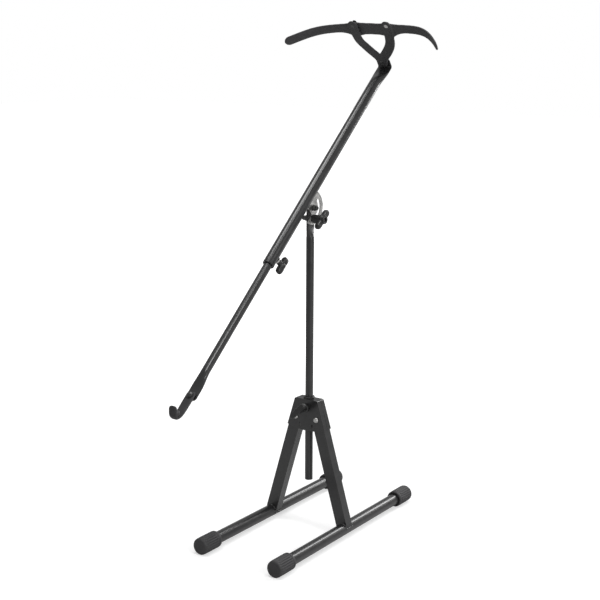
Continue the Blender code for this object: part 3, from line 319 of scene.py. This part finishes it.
strapMesh = moulded(nodes["cradle_core"].data.copy(), cradle["voxel"], cradle["coat"])
addWebs(strapMesh, cradle)
armMeshes = [moulded(nodes[name].data.copy(), cradle["voxel"], cradle["armCoat"])
             for name in ("left_fork_arm", "right_fork_arm")]
softened = moulded(gathered("cradle_coat", [strapMesh] + armMeshes), cradle["voxel"], 0.0,
                   cradle["rounds"])
lips = [rivetLip(side + "_strap_rivet", side + "_fork_arm", cradle) for side in ("left", "right")]
coatMesh = moulded(gathered("cradle_coat", [softened] + lips), cradle["voxel"], 0.0, 2)
newPiece("cradle_coat", coatMesh, "boom", "rubber",
         ("cradle_sleeve", "cradle_core", "left_fork_arm", "right_fork_arm"))
print("cradle coat:", len(coatMesh.polygons), "faces")


# Hook: a thick dipped coat that fills the bend and rounds off its bottom

hook = {
    "voxel": 0.0008, "coat": 0.0012, "rounds": 8,
    "fillHeight": 0.0125, "fillBack": 0.0075, "fillSize": 0.0058, "fillDrops": 9, "fillWidth": 0.0045,
    "roundHeight": 0.014, "narrowest": 0.35,
}


def hookShape(sizes):
    low, high = (Vector(corner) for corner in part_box("hook_sleeve"))
    middle = (low.x + high.x) / 2
    core = moulded(nodes["hook_core"].data.copy(), sizes["voxel"], sizes["coat"])
    places = []
    for step in range(sizes["fillDrops"]):
        across = sizes["fillWidth"] * (2 * step / (sizes["fillDrops"] - 1) - 1)
        place = Vector((middle + across, low.y + sizes["fillBack"], low.z + sizes["fillHeight"]))
        places.append((place, sizes["fillSize"]))
    filled = moulded(gathered("hook_coat", [core, newDrops("hook_fill", places)]), sizes["voxel"],
                     0.0, sizes["rounds"])
    for vertex in filled.vertices:
        share = min(1.0, max(0.0, (vertex.co.z - low.z) / sizes["roundHeight"]))
        width = sizes["narrowest"] + (1 - sizes["narrowest"]) * sqrt(1 - (1 - share) ** 2)
        vertex.co.x = middle + (vertex.co.x - middle) * width
    return filled


hookMesh = hookShape(hook)
newPiece("hook_coat", hookMesh, "inner_boom", "rubber", ("hook_sleeve", "hook_core"))
print("hook coat:", len(hookMesh.polygons), "faces")


# Knobs, as soft-edged mouldings

knobs = {
    "voxel": 0.0006, "rounds": 5,
    "bodies": {"height_knob": "height_clamp", "tilt_knob": "tilt_clamp", "boom_knob": "boom_clamp"},
}
for name, body in knobs["bodies"].items():
    knobMesh = moulded(nodes[name].data.copy(), knobs["voxel"], 0.0, knobs["rounds"])
    newPiece(name + "_moulding", knobMesh, body, "plastic", (name,))


# Foot caps: a smooth rim at the mouth, then ribs, then a rounded end with a shallow dish

footCap = {
    "axisHeight": 0.01665, "radius": 0.01705, "ribs": 22, "perRib": 8, "ribDepth": 0.0017,
    # distance from the mouth as a share of the length, radius as a share, how deep the ribs are
    "profile": [(0.06, 0.725, 0), (0.0, 0.73, 0), (0.0, 0.9, 0), (0.012, 0.96, 0), (0.03, 0.985, 0),
                (0.1, 1.0, 0), (0.125, 0.99, 0), (0.135, 0.955, 0), (0.16, 0.955, 0), (0.175, 0.99, 0.4),
                (0.2, 1.0, 1), (0.55, 1.0, 1), (0.86, 1.0, 1), (0.89, 0.995, 0.6), (0.92, 0.985, 0),
                (0.955, 0.96, 0), (0.985, 0.9, 0), (1.0, 0.8, 0), (1.0, 0.6, 0), (0.99, 0.5, 0)],
}


def newCap(node, body, sizes):
    low, high = (Vector(corner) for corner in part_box(node))
    towardsEnd = 1 if "rear" in node else -1
    mouth = low.y if towardsEnd > 0 else high.y
    length = high.y - low.y
    middle = (low.x + high.x) / 2
    count = sizes["ribs"] * sizes["perRib"]
    shape = bmesh.new()
    rings = []
    for along, share, ribShare in sizes["profile"]:
        ring = []
        for step in range(count):
            turn = 2 * pi * step / count
            groove = max(0.0, -cos(sizes["ribs"] * turn)) ** 0.7
            radius = sizes["radius"] * share - sizes["ribDepth"] * ribShare * groove
            height = max(0.0, sizes["axisHeight"] + radius * sin(turn))
            place = (middle + radius * cos(turn), mouth + towardsEnd * along * length, height)
            ring.append(shape.verts.new(place))
        rings.append(ring)
    for first, second in zip(rings, rings[1:]):
        for step in range(count):
            after = (step + 1) % count
            shape.faces.new((first[step], first[after], second[after], second[step]))
    shape.faces.new(rings[0])
    shape.faces.new(rings[-1])
    bmesh.ops.recalc_face_normals(shape, faces=shape.faces)
    mesh = bpy.data.meshes.new(node + "_ribbed")
    shape.to_mesh(mesh)
    shape.free()
    return newPiece(node + "_ribbed", mesh, body, "rubber", (node,))


for side in ("left", "right"):
    for end in ("front", "rear"):
        newCap(f"{side}_{end}_foot_cap", "leg_" + side, footCap)
print("foot caps: 4")


# Weld beads round the foot of each leg

weld = {
    "tubeRadius": 0.0123, "spread": radians(16.4), "halfWidth": 0.0123, "halfDepth": 0.0103,
    "radius": 0.0014, "across": 16, "along": 12, "ripple": 0.3, "rippleScale": 420.0,
    "voxel": 0.0005, "rounds": 2,
}


def newBead(name, points, body, sizes):
    places = []  # overlapping drops, run together by the moulding
    for point in points:
        ripple = sizes["ripple"] * noise.noise(point * sizes["rippleScale"])
        places.append((point, sizes["radius"] * (1 + ripple)))
    run = moulded(newDrops(name, places), sizes["voxel"], 0.0, sizes["rounds"])
    return newPiece(name, run, body, "powder")


def weldPath(foot, lean, sizes):
    up = Vector((lean * sin(sizes["spread"]), 0.0, cos(sizes["spread"])))
    wide = Vector((cos(sizes["spread"]), 0.0, -lean * sin(sizes["spread"])))
    deep = Vector((0.0, 1.0, 0.0))
    found = []
    for way in (1, -1):
        for step in range(sizes["across"]):
            at = way * sizes["halfWidth"] * (2 * step / sizes["across"] - 1)
            rise = sqrt(max(0.0, sizes["tubeRadius"] ** 2 - at * at))
            found.append(foot + wide * at + up * rise - deep * way * sizes["halfDepth"])
        for step in range(sizes["along"]):
            at = way * sizes["halfDepth"] * (2 * step / sizes["along"] - 1)
            found.append(foot + wide * way * sizes["halfWidth"] + deep * at)
    return found


for side, lean in (("left", 1), ("right", -1)):
    low, high = (Vector(corner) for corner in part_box(side + "_foot_tube"))
    footMiddle = (low + high) / 2
    newBead(side + "_foot_weld", weldPath(footMiddle, lean, weld), "leg_" + side, weld)
print("weld beads: 2")


# Floor, lights and camera

stageSizes = {
    "half": 14.0, "floorLevel": 0.62, "nearGlow": 0.5, "farGlow": 1.0, "glowFrom": 0.7, "glowTo": 1.5,
    "worldLevel": 0.42, "glossLevel": 0.42,
}


def newFloor(sizes):
    half = sizes["half"]
    mesh = bpy.data.meshes.new("floor")
    mesh.from_pydata([(-half, -half, 0), (half, -half, 0), (half, half, 0), (-half, half, 0)],
                     [], [(0, 1, 2, 3)])
    floor = bpy.data.objects.new("floor", mesh)
    bpy.context.scene.collection.objects.link(floor)
    made = bpy.data.materials.new("floorPaint")
    made.use_nodes = True
    shader = made.node_tree.nodes["Principled BSDF"]
    shader.inputs["Base Color"].default_value = colour(sizes["floorLevel"])
    shader.inputs["Roughness"].default_value = 0.9
    shader.inputs["Emission Strength"].default_value = 1.0
    flow = Flow(made.node_tree)
    # seen by the camera only: white away from the object, the object's shadow kept near it
    where = flow.node("TexCoord", {}, {}, "Object")
    away = flow.node("VectorMath", {"operation": "LENGTH"}, {0: where}, "Value")
    level = away.steps(sizes["glowFrom"], sizes["glowTo"], sizes["nearGlow"], sizes["farGlow"])
    glow = (level * flow.node("LightPath", {}, {}, "Is Camera Ray")).mix(colour(0.0), colour(1.0))
    made.node_tree.links.new(glow.socket, shader.inputs["Emission Color"])
    mesh.materials.append(made)
    return floor


def newWorld(sizes):
    world = bpy.data.worlds.new("studio")
    world.use_nodes = True
    tree = world.node_tree
    tree.nodes.clear()
    flow = Flow(tree)
    seen = flow.node("LightPath", {}, {}, "Is Camera Ray")
    gloss = flow.node("LightPath", {}, {}, "Is Glossy Ray")
    strength = (sizes["worldLevel"] + seen * (1.0 - sizes["worldLevel"])
                + gloss * (sizes["glossLevel"] - sizes["worldLevel"]))
    shader = flow.node("Background", {}, {"Color": (1.0, 1.0, 1.0, 1.0), "Strength": strength})
    end = tree.nodes.new("ShaderNodeOutputWorld")
    tree.links.new(shader.socket, end.inputs["Surface"])
    bpy.context.scene.world = world


def newLight(name, at, aim, size, power):
    lamp = bpy.data.lights.new(name, "AREA")
    lamp.shape = "RECTANGLE"
    lamp.size, lamp.size_y = size
    lamp.energy = power
    holder = bpy.data.objects.new(name, lamp)
    holder.location = at
    holder.rotation_euler = (Vector(aim) - Vector(at)).to_track_quat("-Z", "Y").to_euler()
    bpy.context.scene.collection.objects.link(holder)


lights = {  # place, what it points at, size and power
    "rightBox": ((2.4, -0.3, 1.4), (0.0, 0.0, 0.5), (0.6, 1.8), 30.0),
    "rearBox": ((0.5, 2.5, 1.4), (0.0, 0.0, 0.5), (0.7, 2.0), 40.0),
    "topBox": ((-0.2, -0.2, 2.7), (0.0, 0.0, 0.4), (0.9, 0.9), 22.0),
}
view = {
    "lens": 71.944, "sensor": 36.0, "place": (1.31653, -1.8458, 0.97537),
    "turn": (radians(77.97), radians(-0.24), radians(35.041)),
}
newFloor(stageSizes)
newWorld(stageSizes)
for name, (at, aim, size, power) in lights.items():
    newLight(name, at, aim, size, power)

camera = bpy.data.cameras.new("camera")
camera.lens = view["lens"]
camera.sensor_width = view["sensor"]
cameraHolder = bpy.data.objects.new("camera", camera)
cameraHolder.location = view["place"]
cameraHolder.rotation_euler = view["turn"]
bpy.context.scene.collection.objects.link(cameraHolder)
bpy.context.scene.camera = cameraHolder
bpy.context.scene.view_settings.view_transform = "Standard"
print("stage ready")
